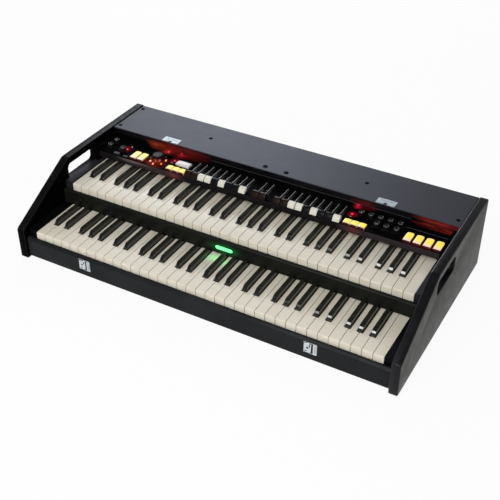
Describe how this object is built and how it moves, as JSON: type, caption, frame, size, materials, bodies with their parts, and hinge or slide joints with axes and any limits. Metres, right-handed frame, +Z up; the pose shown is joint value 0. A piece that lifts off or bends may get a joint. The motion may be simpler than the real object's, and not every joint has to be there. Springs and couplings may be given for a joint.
{
  "type": "electronic organ",
  "caption": "Portable electronic organ: stepped keyboards between black cheeks with handle slots, and drawbars, lit tabs, push buttons and knobs on a deck under a flat lid.",
  "frame": {"origin": "middle of the footprint, on the surface that the cheeks stand on", "axes": "+X to the player's right along the keyboards, +Y away from the player, +Z up"},
  "size_m": [0.926, 0.488, 0.1755],
  "materials": {
    "cabinet_black": "satin black lacquer on board",
    "lid_grey": "satin dark grey lacquer on board",
    "base_board": "bare plywood",
    "rail_black": "satin black lacquer on board",
    "panel_black": "gloss black paint",
    "frame_aluminium": "dark anodised aluminium",
    "board_green": "green solder mask",
    "natural_ivory": "gloss ivory",
    "sharp_black": "gloss black",
    "cap_brown": "gloss brown",
    "cap_white": "gloss white",
    "cap_black": "gloss black",
    "tab_amber": "lit translucent amber",
    "tab_white": "satin white",
    "knob_black": "gloss black",
    "selector_grey": "satin dark grey"
  },
  "bodies": {
    "cabinet": {"left_cheek": "cabinet_black", "right_cheek": "cabinet_black", "base_board": "base_board", "front_rail": "rail_black", "divider_rail": "rail_black", "back_panel": "cabinet_black", "top_lid": "lid_grey", "control_panel": "panel_black", "lower_key_frame": "frame_aluminium", "upper_key_frame": "frame_aluminium", "main_circuit_board": "board_green"},
    "lower_naturals": {"lower_naturals": "natural_ivory"},
    "lower_sharps": {"lower_sharps": "sharp_black"},
    "upper_naturals": {"upper_naturals": "natural_ivory"},
    "upper_sharps": {"upper_sharps": "sharp_black"},
    "drawbar_01": {"drawbar_01": "cap_brown"},
    "drawbar_02": {"drawbar_02": "cap_brown"},
    "drawbar_03": {"drawbar_03": "cap_white"},
    "drawbar_04": {"drawbar_04": "cap_white"},
    "drawbar_05": {"drawbar_05": "cap_black"},
    "drawbar_06": {"drawbar_06": "cap_white"},
    "drawbar_07": {"drawbar_07": "cap_black"},
    "drawbar_08": {"drawbar_08": "cap_black"},
    "drawbar_09": {"drawbar_09": "cap_white"},
    "drawbar_10": {"drawbar_10": "cap_brown"},
    "drawbar_11": {"drawbar_11": "cap_brown"},
    "drawbar_12": {"drawbar_12": "cap_brown"},
    "drawbar_13": {"drawbar_13": "cap_brown"},
    "drawbar_14": {"drawbar_14": "cap_white"},
    "drawbar_15": {"drawbar_15": "cap_white"},
    "drawbar_16": {"drawbar_16": "cap_black"},
    "drawbar_17": {"drawbar_17": "cap_white"},
    "drawbar_18": {"drawbar_18": "cap_black"},
    "drawbar_19": {"drawbar_19": "cap_black"},
    "drawbar_20": {"drawbar_20": "cap_white"},
    "tilt_tab_1": {"tilt_tab_1": "tab_amber"},
    "tilt_tab_2": {"tilt_tab_2": "tab_amber"},
    "tilt_tab_3": {"tilt_tab_3": "tab_amber"},
    "tilt_tab_4": {"tilt_tab_4": "tab_amber"},
    "tilt_tab_5": {"tilt_tab_5": "tab_amber"},
    "tilt_tab_6": {"tilt_tab_6": "tab_amber"},
    "push_button_1": {"push_button_1": "tab_amber"},
    "push_button_2": {"push_button_2": "tab_amber"},
    "push_button_3": {"push_button_3": "tab_amber"},
    "push_button_4": {"push_button_4": "tab_white"},
    "push_button_5": {"push_button_5": "tab_amber"},
    "push_button_6": {"push_button_6": "tab_amber"},
    "push_button_7": {"push_button_7": "tab_amber"},
    "selector_knob": {"selector_knob": "selector_grey"},
    "knob_01": {"knob_01": "knob_black"},
    "knob_02": {"knob_02": "knob_black"},
    "knob_03": {"knob_03": "knob_black"},
    "knob_04": {"knob_04": "knob_black"},
    "knob_05": {"knob_05": "knob_black"},
    "knob_06": {"knob_06": "knob_black"},
    "knob_07": {"knob_07": "knob_black"},
    "knob_08": {"knob_08": "knob_black"},
    "knob_09": {"knob_09": "knob_black"},
    "knob_10": {"knob_10": "knob_black"},
    "knob_11": {"knob_11": "knob_black"}
  },
  "joints": [
    {"name": "lower_naturals_hinge", "type": "hinge", "parent": "cabinet", "child": "lower_naturals", "pos_m": [0, -0.06117, 0.0518], "axis": [1, 0, 0], "range_deg": [0, 3.4], "stiffness_Nm_per_rad": 51, "springref_deg": -4.47},
    {"name": "lower_sharps_hinge", "type": "hinge", "parent": "cabinet", "child": "lower_sharps", "pos_m": [0, -0.055, 0.0518], "axis": [1, 0, 0], "range_deg": [0, 3.4], "stiffness_Nm_per_rad": 25, "springref_deg": -5.73},
    {"name": "upper_naturals_hinge", "type": "hinge", "parent": "cabinet", "child": "upper_naturals", "pos_m": [0, 0.07993, 0.1045], "axis": [1, 0, 0], "range_deg": [0, 3.4], "stiffness_Nm_per_rad": 51, "springref_deg": -4.47},
    {"name": "upper_sharps_hinge", "type": "hinge", "parent": "cabinet", "child": "upper_sharps", "pos_m": [0, 0.0861, 0.1045], "axis": [1, 0, 0], "range_deg": [0, 3.4], "stiffness_Nm_per_rad": 25, "springref_deg": -5.73},
    {"name": "drawbar_01_slide", "type": "slide", "parent": "cabinet", "child": "drawbar_01", "axis": [0, 1, 0], "range_m": [0, 0.058]},
    {"name": "drawbar_02_slide", "type": "slide", "parent": "cabinet", "child": "drawbar_02", "axis": [0, 1, 0], "range_m": [0, 0.058]},
    {"name": "drawbar_03_slide", "type": "slide", "parent": "cabinet", "child": "drawbar_03", "axis": [0, 1, 0], "range_m": [0, 0.058]},
    {"name": "drawbar_04_slide", "type": "slide", "parent": "cabinet", "child": "drawbar_04", "axis": [0, 1, 0], "range_m": [0, 0.058]},
    {"name": "drawbar_05_slide", "type": "slide", "parent": "cabinet", "child": "drawbar_05", "axis": [0, 1, 0], "range_m": [0, 0.058]},
    {"name": "drawbar_06_slide", "type": "slide", "parent": "cabinet", "child": "drawbar_06", "axis": [0, 1, 0], "range_m": [0, 0.058]},
    {"name": "drawbar_07_slide", "type": "slide", "parent": "cabinet", "child": "drawbar_07", "axis": [0, 1, 0], "range_m": [0, 0.058]},
    {"name": "drawbar_08_slide", "type": "slide", "parent": "cabinet", "child": "drawbar_08", "axis": [0, 1, 0], "range_m": [0, 0.058]},
    {"name": "drawbar_09_slide", "type": "slide", "parent": "cabinet", "child": "drawbar_09", "axis": [0, 1, 0], "range_m": [0, 0.058]},
    {"name": "drawbar_10_slide", "type": "slide", "parent": "cabinet", "child": "drawbar_10", "axis": [0, 1, 0], "range_m": [0, 0.058]},
    {"name": "drawbar_11_slide", "type": "slide", "parent": "cabinet", "child": "drawbar_11", "axis": [0, 1, 0], "range_m": [0, 0.058]},
    {"name": "drawbar_12_slide", "type": "slide", "parent": "cabinet", "child": "drawbar_12", "axis": [0, 1, 0], "range_m": [0, 0.058]},
    {"name": "drawbar_13_slide", "type": "slide", "parent": "cabinet", "child": "drawbar_13", "axis": [0, 1, 0], "range_m": [0, 0.058]},
    {"name": "drawbar_14_slide", "type": "slide", "parent": "cabinet", "child": "drawbar_14", "axis": [0, 1, 0], "range_m": [0, 0.058]},
    {"name": "drawbar_15_slide", "type": "slide", "parent": "cabinet", "child": "drawbar_15", "axis": [0, 1, 0], "range_m": [0, 0.058]},
    {"name": "drawbar_16_slide", "type": "slide", "parent": "cabinet", "child": "drawbar_16", "axis": [0, 1, 0], "range_m": [0, 0.058]},
    {"name": "drawbar_17_slide", "type": "slide", "parent": "cabinet", "child": "drawbar_17", "axis": [0, 1, 0], "range_m": [0, 0.058]},
    {"name": "drawbar_18_slide", "type": "slide", "parent": "cabinet", "child": "drawbar_18", "axis": [0, 1, 0], "range_m": [0, 0.058]},
    {"name": "drawbar_19_slide", "type": "slide", "parent": "cabinet", "child": "drawbar_19", "axis": [0, 1, 0], "range_m": [0, 0.058]},
    {"name": "drawbar_20_slide", "type": "slide", "parent": "cabinet", "child": "drawbar_20", "axis": [0, 1, 0], "range_m": [0, 0.058]},
    {"name": "tilt_tab_1_tilt", "type": "hinge", "parent": "cabinet", "child": "tilt_tab_1", "pos_m": [-0.3366, 0.0695, 0.149], "axis": [1, 0, 0], "range_deg": [0, 6], "stiffness_Nm_per_rad": 0.3, "springref_deg": -4.01},
    {"name": "tilt_tab_2_tilt", "type": "hinge", "parent": "cabinet", "child": "tilt_tab_2", "pos_m": [-0.317, 0.0695, 0.149], "axis": [1, 0, 0], "range_deg": [0, 6], "stiffness_Nm_per_rad": 0.3, "springref_deg": -4.01},
    {"name": "tilt_tab_3_tilt", "type": "hinge", "parent": "cabinet", "child": "tilt_tab_3", "pos_m": [0.35415, 0.0695, 0.149], "axis": [1, 0, 0], "range_deg": [0, 6], "stiffness_Nm_per_rad": 0.3, "springref_deg": -4.01},
    {"name": "tilt_tab_4_tilt", "type": "hinge", "parent": "cabinet", "child": "tilt_tab_4", "pos_m": [0.37625, 0.0695, 0.149], "axis": [1, 0, 0], "range_deg": [0, 6], "stiffness_Nm_per_rad": 0.3, "springref_deg": -4.01},
    {"name": "tilt_tab_5_tilt", "type": "hinge", "parent": "cabinet", "child": "tilt_tab_5", "pos_m": [0.39835, 0.0695, 0.149], "axis": [1, 0, 0], "range_deg": [0, 6], "stiffness_Nm_per_rad": 0.3, "springref_deg": -4.01},
    {"name": "tilt_tab_6_tilt", "type": "hinge", "parent": "cabinet", "child": "tilt_tab_6", "pos_m": [0.42045, 0.0695, 0.149], "axis": [1, 0, 0], "range_deg": [0, 6], "stiffness_Nm_per_rad": 0.3, "springref_deg": -4.01},
    {"name": "push_button_1_press", "type": "slide", "parent": "cabinet", "child": "push_button_1", "axis": [0, 0, -1], "range_m": [0, 0.003], "stiffness_N_per_m": 300, "springref_m": -0.002},
    {"name": "push_button_2_press", "type": "slide", "parent": "cabinet", "child": "push_button_2", "axis": [0, 0, -1], "range_m": [0, 0.003], "stiffness_N_per_m": 300, "springref_m": -0.002},
    {"name": "push_button_3_press", "type": "slide", "parent": "cabinet", "child": "push_button_3", "axis": [0, 0, -1], "range_m": [0, 0.003], "stiffness_N_per_m": 300, "springref_m": -0.002},
    {"name": "push_button_4_press", "type": "slide", "parent": "cabinet", "child": "push_button_4", "axis": [0, 0, -1], "range_m": [0, 0.003], "stiffness_N_per_m": 300, "springref_m": -0.002},
    {"name": "push_button_5_press", "type": "slide", "parent": "cabinet", "child": "push_button_5", "axis": [0, 0, -1], "range_m": [0, 0.003], "stiffness_N_per_m": 300, "springref_m": -0.002},
    {"name": "push_button_6_press", "type": "slide", "parent": "cabinet", "child": "push_button_6", "axis": [0, 0, -1], "range_m": [0, 0.003], "stiffness_N_per_m": 300, "springref_m": -0.002},
    {"name": "push_button_7_press", "type": "slide", "parent": "cabinet", "child": "push_button_7", "axis": [0, 0, -1], "range_m": [0, 0.003], "stiffness_N_per_m": 300, "springref_m": -0.002},
    {"name": "selector_knob_turn", "type": "hinge", "parent": "cabinet", "child": "selector_knob", "pos_m": [-0.283, 0.067, 0.1505], "axis": [0, 0, 1], "range_deg": [-135, 135]},
    {"name": "knob_01_turn", "type": "hinge", "parent": "cabinet", "child": "knob_01", "pos_m": [-0.416, 0.061, 0.1505], "axis": [0, 0, 1], "range_deg": [-150, 150]},
    {"name": "knob_02_turn", "type": "hinge", "parent": "cabinet", "child": "knob_02", "pos_m": [-0.416, 0.085, 0.1505], "axis": [0, 0, 1], "range_deg": [-150, 150]},
    {"name": "knob_03_turn", "type": "hinge", "parent": "cabinet", "child": "knob_03", "pos_m": [-0.38, 0.061, 0.1505], "axis": [0, 0, 1], "range_deg": [-150, 150]},
    {"name": "knob_04_turn", "type": "hinge", "parent": "cabinet", "child": "knob_04", "pos_m": [0.233, 0.085, 0.1505], "axis": [0, 0, 1], "range_deg": [-150, 150]},
    {"name": "knob_05_turn", "type": "hinge", "parent": "cabinet", "child": "knob_05", "pos_m": [0.2555, 0.085, 0.1505], "axis": [0, 0, 1], "range_deg": [-150, 150]},
    {"name": "knob_06_turn", "type": "hinge", "parent": "cabinet", "child": "knob_06", "pos_m": [0.278, 0.085, 0.1505], "axis": [0, 0, 1], "range_deg": [-150, 150]},
    {"name": "knob_07_turn", "type": "hinge", "parent": "cabinet", "child": "knob_07", "pos_m": [0.3005, 0.085, 0.1505], "axis": [0, 0, 1], "range_deg": [-150, 150]},
    {"name": "knob_08_turn", "type": "hinge", "parent": "cabinet", "child": "knob_08", "pos_m": [0.323, 0.085, 0.1505], "axis": [0, 0, 1], "range_deg": [-150, 150]},
    {"name": "knob_09_turn", "type": "hinge", "parent": "cabinet", "child": "knob_09", "pos_m": [0.278, 0.061, 0.1505], "axis": [0, 0, 1], "range_deg": [-150, 150]},
    {"name": "knob_10_turn", "type": "hinge", "parent": "cabinet", "child": "knob_10", "pos_m": [0.3005, 0.061, 0.1505], "axis": [0, 0, 1], "range_deg": [-150, 150]},
    {"name": "knob_11_turn", "type": "hinge", "parent": "cabinet", "child": "knob_11", "pos_m": [0.323, 0.061, 0.1505], "axis": [0, 0, 1], "range_deg": [-150, 150]}
  ]
}
